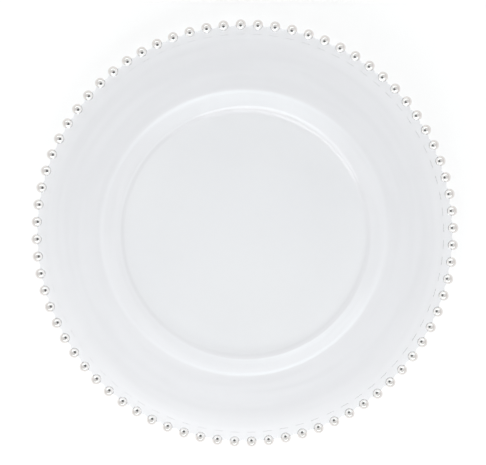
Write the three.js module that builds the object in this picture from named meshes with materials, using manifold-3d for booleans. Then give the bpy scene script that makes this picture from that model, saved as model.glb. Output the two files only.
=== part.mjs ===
// Beaded rim plate: a pressed clear glass plate whose rim carries a ring of silvered beads.
// Millimetres, +Z up. The origin is the middle of the foot, on the surface that the plate stands on.

import * as THREE from "three";
import { mergeVertices } from "three/addons/utils/BufferGeometryUtils.js";
import Module from "manifold-3d";

// Driving dimensions of the glass plate. Widths are measured radially.
const wellRadius = 96.2; // flat floor, out to the crease at the bottom of the wall
const floorThickness = 4;
const wallWidth = 17.5; // short steep wall round the well
const wallRise = 9.5;
const rimWidth = 33.3; // broad rim, from the top of the wall to the lip
const rimRise = 4.5;
const rimThickness = 4; // rim and lip, measured upright
const lipWidth = 13; // level lip that holds the beads
const footInset = 1.8; // from the crease of the well in to the foot's outer edge
const footWidth = 4.5; // flat ring that the plate stands on
const footHeight = 1; // the base inside the foot clears the table by this much
const footSlope = 28; // width of the gentle slope from the foot's inner edge up to the base

// Roundings, each the length cut back from a corner along both of its sides.
const creaseRound = 3.6;
const shoulderRound = 5.5;
const lipRound = 7;
const edgeBevel = 1.2;

// Driving dimensions of the beads and their seats.
const beadCount = 76;
const beadDiameter = 8;
const beadHeight = 6; // the beads are a little flattened
const beadStandOff = 1; // from the glass edge out to the circle through the bead centres
const beadSink = 1; // from the lip's upper face down to the bead centres
const bondGap = 0.3; // cement line between a bead and the glass
const seatLength = 6; // tongue under the lip, one below each bead, measured in from the edge
const seatWidth = 6.6;
const seatDrop = 1.4; // from the lip's underside down to the tongue's underside
const tieDiameter = 0.8; // fine link between the two beads of a pair
const beadsPerPiece = 2;

// Fineness of the facets.
const roundSteps = 2;
const beadSides = 8;
const beadRings = 6;
const tieSides = 4;
const weldDistance = 1e-4;

// Levels and radii worked out from the driving dimensions.
const floorLevel = footHeight + floorThickness;
const shoulderLevel = floorLevel + wallRise;
const lipLevel = shoulderLevel + rimRise;
const lipUnderside = lipLevel - rimThickness;
const shoulderRadius = wellRadius + wallWidth;
const lipRadius = shoulderRadius + rimWidth;
const edgeRadius = lipRadius + lipWidth;
const footOuterRadius = wellRadius - footInset;
const footInnerRadius = footOuterRadius - footWidth;
const beadRadius = beadDiameter / 2;
const beadCircleRadius = edgeRadius + beadStandOff;
const beadLevel = lipLevel - beadSink;
const beadPitch = (2 * Math.PI) / beadCount;

const glass = new THREE.MeshStandardMaterial({
  color: 0xe9eef1,
  roughness: 0.04,
  metalness: 0,
  transparent: true,
  opacity: 0.35,
});
const silver = new THREE.MeshStandardMaterial({
  color: 0xdedad5,
  roughness: 0.1,
  metalness: 1,
});

const wasm = await Module();
wasm.setup();

// A closed geometry as a solid that can be joined and cut.
function solidFrom(geometry) {
  const bare = geometry.clone();
  bare.deleteAttribute("normal");
  bare.deleteAttribute("uv");
  const welded = mergeVertices(bare, weldDistance);
  const corners = welded.index.array;
  const triVerts = [];
  for (let i = 0; i < corners.length; i += 3) {
    const [a, b, c] = corners.slice(i, i + 3);
    if (a !== b && b !== c && c !== a) triVerts.push(a, b, c);
  }
  return new wasm.Manifold(
    new wasm.Mesh({
      numProp: 3,
      vertProperties: welded.attributes.position.array,
      triVerts: new Uint32Array(triVerts),
    }),
  );
}

// A solid as a geometry with flat facets.
function geometryFrom(solid) {
  const { vertProperties, triVerts } = solid.getMesh();
  const shared = new THREE.BufferGeometry()
    .setAttribute("position", new THREE.BufferAttribute(vertProperties, 3))
    .setIndex(new THREE.BufferAttribute(triVerts, 1));
  const facets = shared.toNonIndexed();
  facets.computeVertexNormals();
  return facets;
}

// Half cross-section through [radius, height, rounding] corners, as points for a lathe.
// A rounding stops at the middle of the shorter of its two sides.
function roundedProfile(corners) {
  const points = corners.map(([radius, height]) => new THREE.Vector2(radius, height));
  const path = new THREE.Path().moveTo(points[0].x, points[0].y);
  for (let i = 1; i < corners.length; i++) {
    const corner = points[i];
    const rounding = corners[i][2] ?? 0;
    if (rounding === 0) {
      path.lineTo(corner.x, corner.y);
      continue;
    }
    const back = points[i - 1].clone().sub(corner);
    const ahead = points[i + 1].clone().sub(corner);
    const reach = Math.min(rounding, back.length() / 2, ahead.length() / 2);
    const start = corner.clone().add(back.setLength(reach));
    const end = corner.clone().add(ahead.setLength(reach));
    path.lineTo(start.x, start.y);
    path.quadraticCurveTo(corner.x, corner.y, end.x, end.y);
  }
  return path.getPoints(roundSteps);
}

// The plate before its bead seats are made: the underside out to the edge, then the upper face back in.
function plateBlank() {
  const bevel = Math.min(edgeBevel, 0.4 * rimThickness);
  const profile = roundedProfile([
    [0, footHeight],
    [footInnerRadius - footSlope, footHeight],
    [footInnerRadius, 0],
    [footOuterRadius, 0],
    [shoulderRadius, shoulderLevel - rimThickness, shoulderRound],
    [lipRadius, lipUnderside, lipRound],
    [edgeRadius - bevel, lipUnderside],
    [edgeRadius, lipUnderside + bevel],
    [edgeRadius, lipLevel - bevel],
    [edgeRadius - bevel, lipLevel],
    [lipRadius, lipLevel, lipRound],
    [shoulderRadius, shoulderLevel, shoulderRound],
    [wellRadius, floorLevel, creaseRound],
    [0, floorLevel],
  ]);
  const firstCorner = beadPitch / 2; // a facet, not a corner, lies behind each bead
  const turned = new THREE.LatheGeometry(profile, beadCount, firstCorner);
  return solidFrom(turned.rotateX(Math.PI / 2));
}

// A flattened ball on the bead circle, larger than a bead by the clearance all round.
// It is turned so that the facets of a bead and of its cup face each other.
function ballAt(angle, clearance) {
  const across = beadRadius + clearance;
  return new THREE.SphereGeometry(1, beadSides, beadRings)
    .rotateX(Math.PI / 2)
    .scale(across, across, beadHeight / 2 + clearance)
    .translate(beadCircleRadius, 0, beadLevel)
    .rotateZ(angle);
}

// The tongue that thickens the lip under one bead.
function seatAt(angle) {
  const height = seatDrop + rimThickness / 2;
  return new THREE.BoxGeometry(seatLength, seatWidth, height)
    .translate(edgeRadius - seatLength / 2, 0, lipUnderside - seatDrop + height / 2)
    .rotateZ(angle);
}

// The glass: its blank, with a tongue under each bead and a cup cut for the bead.
function platePiece() {
  let solid = plateBlank();
  for (let bead = 0; bead < beadCount; bead++) {
    const angle = bead * beadPitch;
    solid = solid.add(solidFrom(seatAt(angle)));
    solid = solid.subtract(solidFrom(ballAt(angle, bondGap)));
  }
  return geometryFrom(solid);
}

// The link between two neighbouring beads, close round the outside of the glass edge.
function tieAt(angle) {
  const radius = tieDiameter / 2;
  const length = 2 * beadCircleRadius * Math.sin(beadPitch / 2);
  return new THREE.CylinderGeometry(radius, radius, length, tieSides)
    .translate(edgeRadius + bondGap + radius, 0, beadLevel)
    .rotateZ(angle);
}

// Neighbouring beads linked into one piece, centred on the X axis.
function beadPiece(count) {
  const angleOf = (place) => (place - (count - 1) / 2) * beadPitch;
  let solid = solidFrom(ballAt(angleOf(0), 0));
  for (let place = 1; place < count; place++) {
    solid = solid.add(solidFrom(tieAt(angleOf(place - 0.5))));
    solid = solid.add(solidFrom(ballAt(angleOf(place), 0)));
  }
  return geometryFrom(solid);
}

const plate = new THREE.Group();

const glassPlate = new THREE.Mesh(platePiece(), glass);
glassPlate.name = "glass_plate";
plate.add(glassPlate);

const beadRing = new THREE.Group();
for (let first = 0; first < beadCount; first += beadsPerPiece) {
  const count = Math.min(beadsPerPiece, beadCount - first);
  const beads = new THREE.Mesh(beadPiece(count), silver);
  const number = String(first / beadsPerPiece + 1).padStart(2, "0");
  beads.name = `bead_pair_${number}`;
  beads.rotation.z = (first + (count - 1) / 2) * beadPitch;
  beadRing.add(beads);
}
plate.add(beadRing);

export default plate;
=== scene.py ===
# %% [markdown]
# # A clear glass plate with a ring of silvered beads
#
# The plate is a round charger, the kind that stays on the table under a dinner plate. It is pressed from clear
# glass, and its edge carries a ring of small round beads with a mirror silver finish.
#
# The solids for measuring and for simulation are loaded first. They are faceted and plain, so this lesson models
# a fine glass body and fine beads in the same place and lets them stand in for those solids.

# %% Load the solids and keep their box
import random
from math import atan2, cos, hypot, pi, radians, sin

import bmesh
import bpy
from mathutils import Matrix, Vector


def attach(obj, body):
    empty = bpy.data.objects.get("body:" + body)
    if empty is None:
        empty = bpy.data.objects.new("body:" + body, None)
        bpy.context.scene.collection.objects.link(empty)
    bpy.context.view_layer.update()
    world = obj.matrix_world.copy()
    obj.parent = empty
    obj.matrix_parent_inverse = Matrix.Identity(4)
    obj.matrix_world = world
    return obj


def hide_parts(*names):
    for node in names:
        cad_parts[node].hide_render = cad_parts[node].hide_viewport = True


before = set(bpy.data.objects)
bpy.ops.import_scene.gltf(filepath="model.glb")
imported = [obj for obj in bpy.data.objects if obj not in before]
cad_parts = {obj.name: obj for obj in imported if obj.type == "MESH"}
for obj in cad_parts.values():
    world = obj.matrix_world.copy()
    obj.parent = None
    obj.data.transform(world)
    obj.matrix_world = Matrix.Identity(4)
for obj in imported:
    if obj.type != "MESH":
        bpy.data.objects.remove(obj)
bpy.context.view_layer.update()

# %% [markdown]
# ## Sizes
#
# Blender works in metres here, and the plate is drawn in millimetres, so `mm` turns one into the other. The sizes
# are the same ones that drive the solids: a flat well, a short wall round it, a broad rim that rises gently, and a
# level lip that holds the beads. The beads are a little flattened, and stand half outside the edge of the glass.

# %% Sizes of the plate and its beads
mm = 0.001

well_radius = 96.2 * mm
wall_width = 17.5 * mm
rim_width = 33.3 * mm
lip_width = 13.0 * mm
shoulder_radius = well_radius + wall_width
lip_radius = shoulder_radius + rim_width
edge_radius = lip_radius + lip_width

foot_height = 1.0 * mm
floor_thickness = 4.0 * mm
wall_rise = 9.5 * mm
rim_rise = 4.5 * mm
glass_thickness = 4.0 * mm
floor_level = foot_height + floor_thickness
shoulder_level = floor_level + wall_rise
lip_level = shoulder_level + rim_rise
lip_underside = lip_level - glass_thickness

bead_count = 76
bead_radius = 4.0 * mm
bead_half_height = 3.0 * mm
bead_stand_off = 1.0 * mm
bead_sink = 1.0 * mm
bead_circle = edge_radius + bead_stand_off
bead_level = lip_level - bead_sink
bead_pitch = 2 * pi / bead_count

print("plate across the beads:", round(2 * (bead_circle + bead_radius) / mm, 1), "mm")
print("height to the top of the beads:", round((bead_level + bead_half_height) / mm, 1), "mm")

# %% [markdown]
# ## Small helpers
#
# An operator acts on whatever is selected, so each step starts from a clean selection. In edit mode the helpers
# pick faces or points by where they are, in the way that a hand would pick them with the mouse.


# %% Helpers for selecting
def clear_selection():
    for obj in list(bpy.context.selected_objects):
        obj.select_set(False)


def take(obj):
    clear_selection()
    obj.select_set(True)
    bpy.context.view_layer.objects.active = obj


def enter_edit(obj):
    take(obj)
    bpy.ops.object.mode_set(mode="EDIT")


def leave_edit():
    bpy.ops.object.mode_set(mode="OBJECT")


def pick_faces(obj, rule):
    bpy.ops.mesh.select_mode(type="FACE")
    bpy.ops.mesh.select_all(action="DESELECT")
    shape = bmesh.from_edit_mesh(obj.data)
    shape.normal_update()
    place = obj.matrix_world
    for face in shape.faces:
        face.select_set(rule(place @ face.calc_center_median(), face.normal))
    bmesh.update_edit_mesh(obj.data)
    return sum(face.select for face in shape.faces)


def pick_points(obj, rule):
    bpy.ops.mesh.select_mode(type="VERT")
    bpy.ops.mesh.select_all(action="DESELECT")
    shape = bmesh.from_edit_mesh(obj.data)
    place = obj.matrix_world
    for point in shape.verts:
        point.select_set(rule(place @ point.co))
    shape.select_flush_mode()
    bmesh.update_edit_mesh(obj.data)
    return sum(point.select for point in shape.verts)


def radius_of(point):
    return hypot(point.x, point.y)


def settle(obj):
    """Put the piece's place into its mesh, so that the object sits unturned at the origin."""
    take(obj)
    bpy.ops.object.transform_apply(location=True, rotation=True, scale=True)


def open_edges(obj):
    shape = bmesh.new()
    shape.from_mesh(obj.data)
    count = sum(not edge.is_manifold for edge in shape.edges)
    shape.free()
    return count


# %% [markdown]
# ## The glass: half a cross-section
#
# A plate is turned work: every cut through its axis looks the same, apart from the seats of the beads. So its
# shape starts as half a cross-section, drawn as a chain of points that run along the underside, round the edge and
# back over the upper face. A moulded plate has no sharp corners, so each corner is eased into a short curve.


# %% Half cross-section with eased corners
def eased(corners, steps=5):
    """Points along straight sides, with each (radius, height, easing) corner turned into a curve."""
    points = [Vector(corners[0][:2])]
    for before, corner, after in zip(corners, corners[1:], corners[2:]):
        middle, easing = Vector(corner[:2]), corner[2]
        if easing == 0:
            points.append(middle)
            continue
        start = middle + (Vector(before[:2]) - middle).normalized() * easing
        end = middle + (Vector(after[:2]) - middle).normalized() * easing
        for step in range(steps + 1):
            t = step / steps
            points.append((1 - t) ** 2 * start + 2 * t * (1 - t) * middle + t ** 2 * end)
    points.append(Vector(corners[-1][:2]))
    return points


foot_inset = 1.8 * mm
foot_width = 4.5 * mm
foot_slope = 28.0 * mm
foot_outer = well_radius - foot_inset
foot_inner = foot_outer - foot_width
seat_length = 6.0 * mm
seat_step = 2.0 * mm
seat_root = edge_radius - seat_length

crease_ease = 3.6 * mm
shoulder_ease = 5.5 * mm
lip_ease = 7.0 * mm
edge_ease = 1.7 * mm

half_section = eased([
    (0.0, foot_height, 0),
    (foot_inner - foot_slope, foot_height, 12.0 * mm),
    (foot_inner, 0.0, 2.2 * mm),
    (foot_outer, 0.0, 0.5 * mm),
    (shoulder_radius, shoulder_level - glass_thickness, shoulder_ease),
    (lip_radius, lip_underside, lip_ease),
    (seat_root, lip_underside, 0),
    (seat_root + seat_step, lip_underside, 0),
    (edge_radius, lip_underside, edge_ease),
    (edge_radius, lip_level, edge_ease),
    (seat_root + seat_step, lip_level, 0),
    (lip_radius, lip_level, lip_ease),
    (shoulder_radius, shoulder_level, shoulder_ease),
    (well_radius, floor_level, crease_ease),
    (0.0, floor_level, 0),
])
print("points in the half cross-section:", len(half_section))

# %% [markdown]
# ## The glass: one slice
#
# The edge repeats once for each bead, so only one narrow slice is modelled. A single point, made by merging a
# small plane, is extruded along the cross-section, and the chain is then spun through the angle of one slice. The
# slice lies across the X axis, where the first bead will sit.

# %% Draw the chain and spin one slice
columns = 12


def on_slice_side(point, angle):
    return Vector((point.x * cos(angle), point.x * sin(angle), point.y))


chain = [on_slice_side(point, bead_pitch / 2) for point in half_section]

clear_selection()
bpy.ops.mesh.primitive_plane_add(size=1 * mm, location=chain[0])
glass_plate = bpy.context.active_object
glass_plate.name = "plate_glass"
enter_edit(glass_plate)
bpy.ops.mesh.merge(type="CENTER")
for start, end in zip(chain, chain[1:]):
    bpy.ops.mesh.extrude_region_move(TRANSFORM_OT_translate={"value": end - start})
bpy.ops.mesh.select_all(action="SELECT")
bpy.ops.mesh.spin(steps=columns, angle=bead_pitch, center=(0, 0, 0), axis=(0, 0, 1))
bpy.ops.mesh.select_all(action="SELECT")
bpy.ops.mesh.remove_doubles(threshold=0.001 * mm)
bpy.ops.mesh.normals_make_consistent(inside=False)
leave_edit()
settle(glass_plate)

slice_sides = [atan2(v.co.y, v.co.x) for v in glass_plate.data.vertices if radius_of(v.co) > mm]
print("slice runs from", round(min(slice_sides) / bead_pitch, 3), "to", round(max(slice_sides) / bead_pitch, 3))

# %% [markdown]
# ## The glass: a seat for the bead
#
# Under each bead the lip is a little thicker, as a short tongue. Faces on the underside of the slice are extruded
# down for it. Beside the bead the edge swells out and then curves back in half way to the next bead, so from above
# the glass runs in shallow scallops.

# %% Tongue and scallop of one slice
tongue_half_width = 3.3 * mm
tongue_drop = 1.4 * mm
flare = 0.8 * mm
flare_share = 0.45

enter_edit(glass_plate)
tongue_faces = pick_faces(
    glass_plate,
    lambda centre, normal: normal.z < -0.9
    and seat_root < centre.x < edge_radius - edge_ease
    and abs(centre.y) < tongue_half_width,
)
bpy.ops.mesh.extrude_region_move(TRANSFORM_OT_translate={"value": (0, 0, -tongue_drop)})

for column in range(columns + 1):
    angle = (column / columns - 0.5) * bead_pitch
    nearness = 1 - abs(2 * column / columns - 1)
    swell = min(1.0, nearness / flare_share)
    swell = swell * swell * (3 - 2 * swell)
    grow = 1 + flare * swell / edge_radius
    pick_points(
        glass_plate,
        lambda p: radius_of(p) > edge_radius - 1.05 * edge_ease
        and abs(atan2(p.y, p.x) - angle) < 0.2 * bead_pitch / columns,
    )
    bpy.ops.transform.resize(value=(grow, grow, 1), center_override=(0, 0, 0))
leave_edit()
print("faces in the tongue:", tongue_faces)

# %% [markdown]
# ## The glass: a cup for the bead
#
# A flattened ball cuts the cup that the bead sits in. A cut needs a closed body, so the slice is closed at its two
# sides for a moment. The cup is a hair smaller than the bead, because clear cement fills the real joint and leaves
# no air in it.

# %% Close the slice and cut the cup
cup_lap = 0.08 * mm

enter_edit(glass_plate)
pick_points(glass_plate, lambda p: radius_of(p) < 0.01 * mm)
bpy.ops.mesh.edge_face_add()
for side in (-0.5, 0.5):
    pick_points(
        glass_plate,
        lambda p: radius_of(p) < 0.01 * mm or abs(atan2(p.y, p.x) - side * bead_pitch) < 0.02 * bead_pitch,
    )
    bpy.ops.mesh.edge_face_add()
bpy.ops.mesh.select_all(action="SELECT")
bpy.ops.mesh.normals_make_consistent(inside=False)
leave_edit()
print("open edges of the closed slice:", open_edges(glass_plate))

clear_selection()
bpy.ops.mesh.primitive_uv_sphere_add(
    segments=36, ring_count=24, radius=bead_radius - cup_lap, location=(bead_circle, 0, bead_level)
)
cup_cutter = bpy.context.active_object
cup_cutter.scale.z = (bead_half_height - cup_lap) / (bead_radius - cup_lap)
settle(cup_cutter)
take(glass_plate)
cut = glass_plate.modifiers.new("cup", "BOOLEAN")
cut.operation = "DIFFERENCE"
cut.solver = "EXACT"
cut.object = cup_cutter
bpy.ops.object.modifier_apply(modifier=cut.name)
bpy.data.objects.remove(cup_cutter)
print("slice with its cup:", len(glass_plate.data.polygons), "faces, open edges:", open_edges(glass_plate))

# %% [markdown]
# ## The glass: the whole plate
#
# The two side faces of the slice are taken off again. Spin can also copy, so the open slice is copied round the
# axis, once for each bead, and the seams are merged into one closed body.

# %% Copy the slice round the axis
enter_edit(glass_plate)
pick_faces(
    glass_plate,
    lambda centre, normal: abs(normal.z) < 0.01
    and abs(abs(atan2(centre.y, centre.x)) - bead_pitch / 2) < 0.01 * bead_pitch
    and abs(normal.y) > 0.9,
)
bpy.ops.mesh.delete(type="ONLY_FACE")
bpy.ops.mesh.select_all(action="SELECT")
bpy.ops.mesh.spin(
    steps=bead_count - 1,
    dupli=True,
    angle=(bead_count - 1) * bead_pitch,
    center=(0, 0, 0),
    axis=(0, 0, 1),
)
bpy.ops.mesh.select_all(action="SELECT")
bpy.ops.mesh.remove_doubles(threshold=0.002 * mm)
bpy.ops.mesh.delete_loose(use_verts=True, use_edges=True, use_faces=False)
bpy.ops.mesh.select_all(action="SELECT")
bpy.ops.mesh.normals_make_consistent(inside=False)
leave_edit()
settle(glass_plate)
bpy.ops.object.shade_smooth_by_angle(angle=radians(32))
print("plate:", len(glass_plate.data.polygons), "faces, open edges:", open_edges(glass_plate))

# %% [markdown]
# ## One bead
#
# A silvered bead isn't a perfect ball. It is a little flattened, the mould leaves a hair-fine seam round its middle,
# and on the side that faces the plate a small flat boss meets the bottom of the cup. The ball is a start: its middle
# edges are bevelled into a narrow band that is drawn out a little, and a patch of faces is inset and extruded into
# the boss.

# %% Model one bead
seam_height = 0.035 * mm
seam_width = 0.14 * mm
boss_reach = 0.11 * mm
boss_inset = 0.15 * mm
bead_centre = Vector((bead_circle, 0, bead_level))


def on_seam(point):
    return abs(point.z - bead_level) < 0.01 * mm and point.x > bead_circle - 0.93 * bead_radius



clear_selection()
bpy.ops.mesh.primitive_uv_sphere_add(segments=32, ring_count=20, radius=bead_radius, location=bead_centre)
first_bead = bpy.context.active_object
first_bead.name = "bead_01"
first_bead.scale.z = bead_half_height / bead_radius
settle(first_bead)

enter_edit(first_bead)
boss_faces = pick_faces(first_bead, lambda centre, normal: normal.x < -0.95)
bpy.ops.mesh.inset(thickness=boss_inset, depth=0)
bpy.ops.mesh.extrude_region_move(TRANSFORM_OT_translate={"value": (-boss_reach, 0, 0)})
pick_points(first_bead, on_seam)
bpy.ops.mesh.bevel(offset=seam_width, segments=2, affect="EDGES")
pick_points(first_bead, on_seam)
seam = 1 + seam_height / bead_radius
bpy.ops.transform.resize(value=(seam, seam, 1), center_override=bead_centre)
bpy.ops.mesh.select_all(action="SELECT")
bpy.ops.mesh.normals_make_consistent(inside=False)
leave_edit()
take(first_bead)
bpy.ops.object.shade_smooth_by_angle(angle=radians(40))
print("bead:", len(first_bead.data.polygons), "faces, boss faces:", boss_faces)
print("open edges of the bead:", open_edges(first_bead))

# %% [markdown]
# ## The ring of beads
#
# The bead is copied round the axis, each copy with a mesh of its own. Hand-finished beads are never quite alike, so
# each copy is tilted and sized a very little by a seeded chance before it goes to its place.

# %% Copy the bead round the edge
largest_shrink = 0.012
largest_tilt = 1.5

chance = random.Random(76)
to_centre = Matrix.Translation(bead_centre)
beads = [first_bead]
for number in range(1, bead_count):
    take(first_bead)
    bpy.ops.object.duplicate(linked=False)
    bead = bpy.context.active_object
    bead.name = f"bead_{number + 1:02d}"
    size = 1 - largest_shrink * chance.random()
    wobble = Matrix.Rotation(radians(chance.uniform(-largest_tilt, largest_tilt)), 4, "X")
    about_centre = to_centre @ wobble @ Matrix.Scale(size, 4) @ to_centre.inverted()
    bead.matrix_world = Matrix.Rotation(number * bead_pitch, 4, "Z") @ about_centre
    settle(bead)
    beads.append(bead)
print("beads:", len(beads), "faces in all:", sum(len(bead.data.polygons) for bead in beads))

# %% [markdown]
# ## Helpers for materials
#
# Materials are built from nodes. The helpers keep that short: one spreads a value over a new range, one does a sum
# with sockets or plain numbers, one makes noise, one turns a value into a colour between two shades, and one
# measures how far a place is from the plate's axis.


# %% Helpers for nodes
def node(tree, kind, **settings):
    made = tree.nodes.new(kind)
    for name, value in settings.items():
        setattr(made, name, value)
    return made


def spread(tree, value, low, high, to_low, to_high, soft=False):
    ranged = node(tree, "ShaderNodeMapRange", interpolation_type="SMOOTHSTEP" if soft else "LINEAR")
    for name, number in zip(("From Min", "From Max", "To Min", "To Max"), (low, high, to_low, to_high)):
        ranged.inputs[name].default_value = number
    tree.links.new(value, ranged.inputs["Value"])
    return ranged.outputs["Result"]


def sum_of(tree, operation, *terms):
    made = node(tree, "ShaderNodeMath", operation=operation)
    for socket, term in zip(made.inputs, terms):
        if isinstance(term, (int, float)):
            socket.default_value = term
        else:
            tree.links.new(term, socket)
    return made.outputs[0]


def noise(tree, vector, scale, detail):
    made = node(tree, "ShaderNodeTexNoise")
    made.inputs["Scale"].default_value = scale
    made.inputs["Detail"].default_value = detail
    tree.links.new(vector, made.inputs["Vector"])
    return made


def shades_of(tree, value, low, low_color, high, high_color):
    shades = node(tree, "ShaderNodeValToRGB")
    for element, position, color in zip(shades.color_ramp.elements, (low, high), (low_color, high_color)):
        element.position = position
        element.color = color
    tree.links.new(value, shades.inputs["Fac"])
    return shades.outputs["Color"]


def from_axis(tree, place):
    """The place without its height, and its distance from the plate's axis."""
    flat = node(tree, "ShaderNodeVectorMath", operation="MULTIPLY")
    flat.inputs[1].default_value = (1, 1, 0)
    away = node(tree, "ShaderNodeVectorMath", operation="LENGTH")
    tree.links.new(place, flat.inputs[0])
    tree.links.new(flat.outputs["Vector"], away.inputs[0])
    return flat.outputs["Vector"], away.outputs["Value"]


# %% [markdown]
# ## Handling marks
#
# Glass and silver both pick up faint marks: fine smears and hairlines that only show where light slides along the
# surface. Both finishes use them, so they are a node group that gives one value from 0 to 1, clean to marked.


# %% Node group for handling marks
def made_marks():
    tree = bpy.data.node_groups.new("handling marks", "ShaderNodeTree")
    tree.interface.new_socket("Size", in_out="INPUT", socket_type="NodeSocketFloat").default_value = 60
    tree.interface.new_socket("Marks", in_out="OUTPUT", socket_type="NodeSocketFloat")
    given = node(tree, "NodeGroupInput")
    result = node(tree, "NodeGroupOutput")
    place = node(tree, "ShaderNodeTexCoord").outputs["Object"]
    smears = noise(tree, place, 1, 4)
    smears.inputs["Distortion"].default_value = 0.6
    hairlines = noise(tree, place, 1, 2)
    tree.links.new(given.outputs["Size"], smears.inputs["Scale"])
    tree.links.new(sum_of(tree, "MULTIPLY", given.outputs["Size"], 9), hairlines.inputs["Scale"])
    both = sum_of(tree, "MULTIPLY", smears.outputs["Fac"], hairlines.outputs["Fac"])
    tree.links.new(spread(tree, both, 0.16, 0.42, 0, 1), result.inputs["Marks"])
    return tree


handling_marks = made_marks()


def marks_into(tree, size, low, high):
    marks = node(tree, "ShaderNodeGroup", node_tree=handling_marks)
    marks.inputs["Size"].default_value = size
    return spread(tree, marks.outputs["Marks"], 0, 1, low, high)


print("node group:", handling_marks.name)

# %% [markdown]
# ## Clear pressed glass
#
# Clear glass is mostly what is behind it, so its look is in the bending of light and in small faults. Pressed glass
# keeps soft rings from the mould. Noise that changes fast along the radius and slowly round the axis gives such
# rings. They reach the surface as a very low bump, and on the wall and the rim also the tint, which is a little
# deeper there than in the plain well.


# %% Glass material
def ring_place(tree, place):
    """Where the mould's rings are looked up: fast along the radius, slow round the axis."""
    flat, away = from_axis(tree, place)
    direction = node(tree, "ShaderNodeVectorMath", operation="NORMALIZE")
    outward = node(tree, "ShaderNodeCombineXYZ")
    looked_up = node(tree, "ShaderNodeVectorMath", operation="MULTIPLY_ADD")
    looked_up.inputs[1].default_value = (0.9, 0.9, 0)
    tree.links.new(flat, direction.inputs[0])
    tree.links.new(sum_of(tree, "MULTIPLY", away, 110), outward.inputs["Z"])
    tree.links.new(direction.outputs["Vector"], looked_up.inputs[0])
    tree.links.new(outward.outputs["Vector"], looked_up.inputs[2])
    return looked_up.outputs["Vector"], away


def made_glass():
    material = bpy.data.materials.new("clear pressed glass")
    material.use_nodes = True
    tree = material.node_tree
    link = tree.links.new
    shader = tree.nodes["Principled BSDF"]
    shader.inputs["Transmission Weight"].default_value = 1
    shader.inputs["IOR"].default_value = 1.5

    place = node(tree, "ShaderNodeTexCoord").outputs["Object"]
    rings, away = ring_place(tree, place)
    bump = node(tree, "ShaderNodeBump")
    bump.inputs["Strength"].default_value = 1
    bump.inputs["Distance"].default_value = 0.1 * mm
    link(noise(tree, rings, 1, 1.5).outputs["Fac"], bump.inputs["Height"])
    link(bump.outputs["Normal"], shader.inputs["Normal"])

    cloud = noise(tree, place, 9, 1).outputs["Fac"]
    streaks = noise(tree, rings, 1.3, 2).outputs["Fac"]
    well_tint = shades_of(tree, cloud, 0.35, (0.871, 0.879, 0.895, 1), 0.65, (0.880, 0.888, 0.901, 1))
    rim_tint = shades_of(tree, streaks, 0.42, (0.847, 0.852, 0.869, 1), 0.58, (0.861, 0.866, 0.883, 1))
    tint = node(tree, "ShaderNodeMix", data_type="RGBA")
    link(spread(tree, away, well_radius - 6 * mm, well_radius + 2 * mm, 0, 1, soft=True), tint.inputs["Factor"])
    link(well_tint, tint.inputs["A"])
    link(rim_tint, tint.inputs["B"])
    link(tint.outputs["Result"], shader.inputs["Base Color"])
    link(marks_into(tree, 45, 0.0, 0.02), shader.inputs["Roughness"])
    return material


clear_glass = made_glass()
glass_plate.data.materials.append(clear_glass)
print("glass nodes:", len(clear_glass.node_tree.nodes))

# %% [markdown]
# ## Silvered beads
#
# The beads are bright mirrors with a slightly warm cast. On the side away from the plate the silver is painted
# darker and browner, a painted shade that stands in for the darker surroundings which that side reflects. The
# distance from the plate's axis tells where that is.


# %% Silver material
def made_silver():
    material = bpy.data.materials.new("bright silvering")
    material.use_nodes = True
    tree = material.node_tree
    link = tree.links.new
    shader = tree.nodes["Principled BSDF"]
    shader.inputs["Metallic"].default_value = 1

    place = node(tree, "ShaderNodeTexCoord").outputs["Object"]
    _, away = from_axis(tree, place)
    inner_side, outer_side = bead_circle - 0.30 * bead_radius, bead_circle + 0.35 * bead_radius
    cast = noise(tree, place, 55, 2).outputs["Fac"]
    bright = shades_of(tree, cast, 0.3, (0.955, 0.945, 0.935, 1), 0.7, (0.970, 0.965, 0.960, 1))
    # painted shade: the outer side of each bead is darker and browner, standing in for the darker surroundings it
    # reflects
    painted_outer_shade = node(tree, "ShaderNodeMix", data_type="RGBA")
    painted_outer_shade.inputs["B"].default_value = (0.78, 0.75, 0.73, 1)
    link(spread(tree, away, inner_side, outer_side, 0, 1, soft=True), painted_outer_shade.inputs["Factor"])
    link(bright, painted_outer_shade.inputs["A"])
    link(painted_outer_shade.outputs["Result"], shader.inputs["Base Color"])
    link(marks_into(tree, 350, 0.02, 0.07), shader.inputs["Roughness"])
    return material


bright_silver = made_silver()
for bead in beads:
    bead.data.materials.append(bright_silver)
print("silver nodes:", len(bright_silver.node_tree.nodes))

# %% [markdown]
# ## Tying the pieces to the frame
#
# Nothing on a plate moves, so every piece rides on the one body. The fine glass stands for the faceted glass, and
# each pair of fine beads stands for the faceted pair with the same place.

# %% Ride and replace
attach(glass_plate, "root")
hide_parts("glass_plate")
for number, bead in enumerate(beads):
    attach(bead, "root")
    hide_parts(f"bead_pair_{number // 2 + 1:02d}")
print("pieces tied:", 1 + len(beads))

# %% [markdown]
# ## Floor
#
# The plate lies on white paper, a plain pale floor. The paper also glows a little for the camera, directly and in
# what it sees through or in the glass and the beads, so that it comes out white and still takes the plate's shadow.

# %% Floor
paper_tone = 0.47
paper_glow = 0.505

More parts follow.
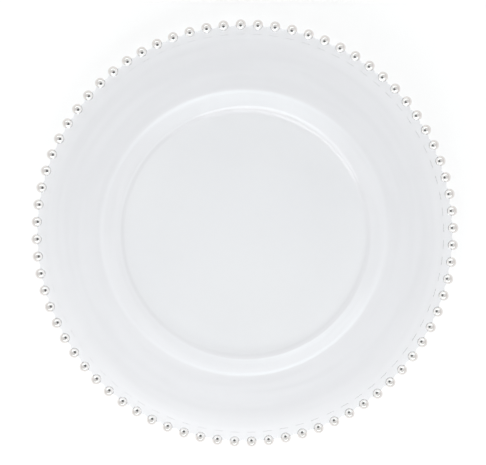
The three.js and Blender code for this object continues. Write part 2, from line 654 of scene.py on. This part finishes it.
clear_selection()
bpy.ops.mesh.primitive_plane_add(size=8, location=(0, 0, -0.2 * mm))
paper = bpy.context.active_object
paper.name = "paper_floor"
settle(paper)
paper_finish = bpy.data.materials.new("white paper")
paper_finish.use_nodes = True
tree = paper_finish.node_tree
tree.nodes.clear()
out = node(tree, "ShaderNodeOutputMaterial")
matt = node(tree, "ShaderNodeBsdfDiffuse")
matt.inputs["Color"].default_value = (paper_tone, paper_tone, paper_tone, 1)
glow = node(tree, "ShaderNodeEmission")
glow.inputs["Strength"].default_value = paper_glow
matt_and_glow = node(tree, "ShaderNodeAddShader")
path = node(tree, "ShaderNodeLightPath")
direct = sum_of(tree, "MAXIMUM", path.outputs["Is Camera Ray"], path.outputs["Is Glossy Ray"])
seen = sum_of(tree, "MAXIMUM", direct, path.outputs["Is Transmission Ray"])
pick = node(tree, "ShaderNodeMixShader")
link = tree.links.new
link(matt.outputs[0], matt_and_glow.inputs[0])
link(glow.outputs[0], matt_and_glow.inputs[1])
link(seen, pick.inputs[0])
link(matt.outputs[0], pick.inputs[1])
link(matt_and_glow.outputs[0], pick.inputs[2])
link(pick.outputs[0], out.inputs[0])
paper.data.materials.append(paper_finish)
print("floor:", paper.name)

# %% [markdown]
# ## Light tent
#
# The light is a white tent all round, brighter near the ground than overhead.

# %% Tent
world = bpy.data.worlds.new("light tent")
bpy.context.scene.world = world
world.use_nodes = True
tent = world.node_tree
direction = node(tent, "ShaderNodeTexCoord")
along = node(tent, "ShaderNodeSeparateXYZ")
tent.links.new(direction.outputs["Generated"], along.inputs[0])
to_right, to_back, upward = along.outputs["X"], along.outputs["Y"], along.outputs["Z"]
tent_light = spread(tent, upward, 0, 0.5, 1.05, 0.78)
print("tent:", world.name)

# %% [markdown]
# ## Light in the tent's roof
#
# The crease and the shoulder of the wall each show a thin bright line, and the wall between them glows softly at
# the front and the back. So the roof has a narrow brighter band half way up, strongest at the front and the back,
# and below it two wide soft panels. Their light is a little cooler than the cloth's.


# %% Band and panels
def distance_from(tree, value, middle):
    return sum_of(tree, "ABSOLUTE", sum_of(tree, "SUBTRACT", value, middle))


band_height = 0.715
panel_height = 0.635

band = spread(tent, distance_from(tent, upward, band_height), 0, 0.06, 3.6, 0, soft=True)
at_ends = sum_of(tent, "MULTIPLY_ADD", to_back, to_back, 0.08)
more_at_back = spread(tent, to_back, -1, 1, 1.1, 1.25)
by_corner = spread(tent, sum_of(tent, "MULTIPLY", to_right, to_back), -0.25, 0.25, 1.25, 0.5)
band_share = sum_of(tent, "MULTIPLY", at_ends, sum_of(tent, "MULTIPLY", more_at_back, by_corner))
band_light = sum_of(tent, "MULTIPLY", band, band_share)

panel = spread(tent, distance_from(tent, upward, panel_height), 0.02, 0.12, 1.1, 0, soft=True)
front_panel = spread(tent, to_back, -0.8, -0.4, 1, 0, soft=True)
back_panel = spread(tent, to_back, 0.3, 0.75, 0, 0.45, soft=True)
panel_share = sum_of(tent, "ADD", front_panel, back_panel)
roof_light = sum_of(tent, "MULTIPLY_ADD", panel, panel_share, band_light)

white_cloth = tent.nodes["Background"]
white_cloth.inputs["Color"].default_value = (1, 0.994, 0.99, 1)
tent.links.new(tent_light, white_cloth.inputs["Strength"])
cool_panels = node(tent, "ShaderNodeBackground")
cool_panels.inputs["Color"].default_value = (0.86, 0.985, 1, 1)
tent.links.new(roof_light, cool_panels.inputs["Strength"])
together = node(tent, "ShaderNodeAddShader")
tent.links.new(white_cloth.outputs[0], together.inputs[0])
tent.links.new(cool_panels.outputs[0], together.inputs[1])
tent.links.new(together.outputs[0], tent.nodes["World Output"].inputs["Surface"])
print("tent nodes:", len(tent.nodes))

# %% [markdown]
# ## Front lamp
#
# One wide soft lamp stands low at the front, a little to the left. It makes the near side of the plate lighter than
# the far side. Reflections don't show it, so the outer side of the front beads keeps its tone.

# %% Lamp
lamp_place = Vector((-0.27, -0.72, 0.33))
lamp_data = bpy.data.lights.new("front_lamp", "AREA")
lamp_data.shape = "RECTANGLE"
lamp_data.size = 1.4
lamp_data.size_y = 0.5
lamp_data.energy = 7.0
front_lamp = bpy.data.objects.new("front_lamp", lamp_data)
bpy.context.collection.objects.link(front_lamp)
front_lamp.location = lamp_place
front_lamp.visible_glossy = False
front_lamp.rotation_euler = (-lamp_place).to_track_quat("-Z", "Y").to_euler()
print("lamp:", front_lamp.name, lamp_data.energy, "W")

# %% [markdown]
# ## Opening in the roof
#
# The picture is taken through a round opening in the roof, and each bead shows that opening as a dark dot. It is a
# dark disc with a soft edge that only reflections see, so it takes no light from the plate or the paper.

# %% Opening
opening_centre = Vector((-14, 12, 368)) * mm
opening_radius = 210 * mm
dark_radius = 110 * mm

clear_selection()
bpy.ops.mesh.primitive_circle_add(vertices=64, radius=opening_radius, fill_type="NGON", location=opening_centre)
roof_opening = bpy.context.active_object
roof_opening.name = "roof_opening"
settle(roof_opening)
shade = bpy.data.materials.new("dark opening with a soft edge")
shade.use_nodes = True
tree = shade.node_tree
tree.nodes.clear()
out = node(tree, "ShaderNodeOutputMaterial")
glow = node(tree, "ShaderNodeEmission")
spot = node(tree, "ShaderNodeTexCoord")
away = node(tree, "ShaderNodeVectorMath", operation="DISTANCE")
away.inputs[1].default_value = opening_centre
tree.links.new(spot.outputs["Object"], away.inputs[0])
soft_edge = spread(tree, away.outputs["Value"], dark_radius, opening_radius, 0.1, 0.78, soft=True)
tree.links.new(soft_edge, glow.inputs["Strength"])
tree.links.new(glow.outputs[0], out.inputs[0])
roof_opening.data.materials.append(shade)
roof_opening.visible_camera = False
roof_opening.visible_diffuse = False
roof_opening.visible_transmission = False
roof_opening.visible_shadow = False
print("opening:", round(2 * opening_radius / mm), "mm across")

# %% [markdown]
# ## Camera
#
# The camera looks almost straight down from 1.2 m, a little from the left and the back, as the photograph shows.
# Glass is mostly seen through several surfaces, so the render keeps such paths sharp instead of blurring them.

# %% Camera
place = Vector((-58.87, 22.70, 1200.0)) * mm
aim = Vector((-2.332, 0.868, 16.0)) * mm
roll = radians(-1.496)
forward = (aim - place).normalized()
right = forward.cross(Vector((-sin(roll), cos(roll), 0))).normalized()
up = right.cross(forward)
lens = bpy.data.cameras.new("camera")
lens.lens = 113.622
lens.sensor_width = 36
camera = bpy.data.objects.new("camera", lens)
bpy.context.collection.objects.link(camera)
camera.matrix_world = Matrix.Translation(place) @ Matrix((right, up, -forward)).transposed().to_4x4()
bpy.context.scene.camera = camera
bpy.context.scene.view_settings.view_transform = "Standard"
bpy.context.scene.cycles.blur_glossy = 0
print("camera", round((aim - place).length, 3), "m from the plate")
